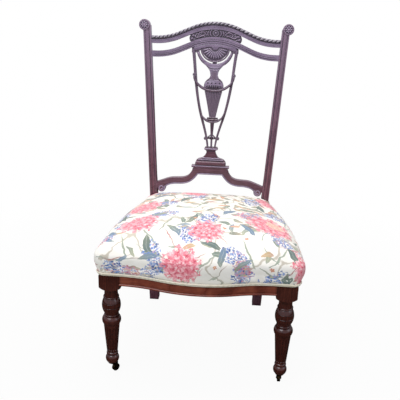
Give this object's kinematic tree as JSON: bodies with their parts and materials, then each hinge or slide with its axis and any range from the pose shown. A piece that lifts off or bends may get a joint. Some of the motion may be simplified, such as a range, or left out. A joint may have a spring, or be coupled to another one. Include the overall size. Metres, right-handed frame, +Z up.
{
  "type": "low upholstered side chair",
  "caption": "Low carved mahogany chair with a pierced raked back, a sprung and stuffed seat, turned front legs on small castors and plain rear legs.",
  "frame": {"origin": "on the floor, under the middle of the chair's box", "axes": "+Z up, the front of the seat faces -Y, +X to the right of someone facing the chair"},
  "size_m": [0.5162, 0.52, 0.8611],
  "materials": {
    "mahogany": "aged french polish, figured red brown",
    "frame_beech": "unpolished secondary wood",
    "screw_steel": "dull slotted wood screws",
    "tack_steel": "blued cut tacks",
    "spring_steel": "coppered spring wire",
    "jute_webbing": "woven jute",
    "dust_cloth": "black calico",
    "hessian": "coarse hessian",
    "plant_fibre": "ginger plant fibre",
    "curled_hair": "curled hair",
    "cotton_wadding": "cotton wadding",
    "printed_cotton": "cream cotton with printed flowers",
    "piping_cord": "cream double piping",
    "castor_brass": "dark aged brass",
    "castor_wheel_brass": "dark aged brass, worn rim",
    "castor_iron": "dark iron"
  },
  "bodies": {
    "chair": {"left_back_post": "mahogany", "right_back_post": "mahogany", "crest_rail": "mahogany", "mid_back_rail": "mahogany", "carved_tablet": "mahogany", "back_splat": "mahogany", "splat_pedestal": "mahogany", "lower_back_rail": "mahogany", "left_front_leg": "mahogany", "right_front_leg": "mahogany", "front_seat_rail": "mahogany", "left_side_rail": "mahogany", "right_side_rail": "mahogany", "back_seat_rail": "frame_beech", "left_front_corner_block": "frame_beech", "right_front_corner_block": "frame_beech", "left_rear_corner_block": "frame_beech", "right_rear_corner_block": "frame_beech", "corner_block_screws": "screw_steel", "webbing_front_to_back": "jute_webbing", "webbing_side_to_side": "jute_webbing", "webbing_tacks": "tack_steel", "dust_cover": "dust_cloth", "dust_cover_tacks": "tack_steel", "seat_springs": "spring_steel", "spring_hessian": "hessian", "fibre_stuffing": "plant_fibre", "hair_stuffing": "curled_hair", "cotton_wadding": "cotton_wadding", "seat_cover": "printed_cotton", "double_piping": "piping_cord", "left_castor_plate": "castor_brass", "left_castor_screws": "screw_steel", "left_castor_pivot": "castor_iron", "right_castor_plate": "castor_brass", "right_castor_screws": "screw_steel", "right_castor_pivot": "castor_iron"},
    "left_castor": {"left_castor_fork": "castor_brass", "left_castor_axle": "castor_iron"},
    "left_wheel": {"left_castor_wheel": "castor_wheel_brass"},
    "right_castor": {"right_castor_fork": "castor_brass", "right_castor_axle": "castor_iron"},
    "right_wheel": {"right_castor_wheel": "castor_wheel_brass"}
  },
  "joints": [
    {"name": "left_castor_swivel", "type": "hinge", "parent": "chair", "child": "left_castor", "pos_m": [-0.215, -0.19646, 0.028], "axis": [0, 0, 1], "continuous": true},
    {"name": "left_castor_roll", "type": "hinge", "parent": "left_castor", "child": "left_wheel", "pos_m": [-0.20857, -0.18879, 0.01], "axis": [-0.766, 0.6428, 0], "continuous": true},
    {"name": "right_castor_swivel", "type": "hinge", "parent": "chair", "child": "right_castor", "pos_m": [0.215, -0.19646, 0.028], "axis": [0, 0, 1], "continuous": true},
    {"name": "right_castor_roll", "type": "hinge", "parent": "right_castor", "child": "right_wheel", "pos_m": [0.215, -0.18646, 0.01], "axis": [-1, 0, 0], "continuous": true}
  ]
}
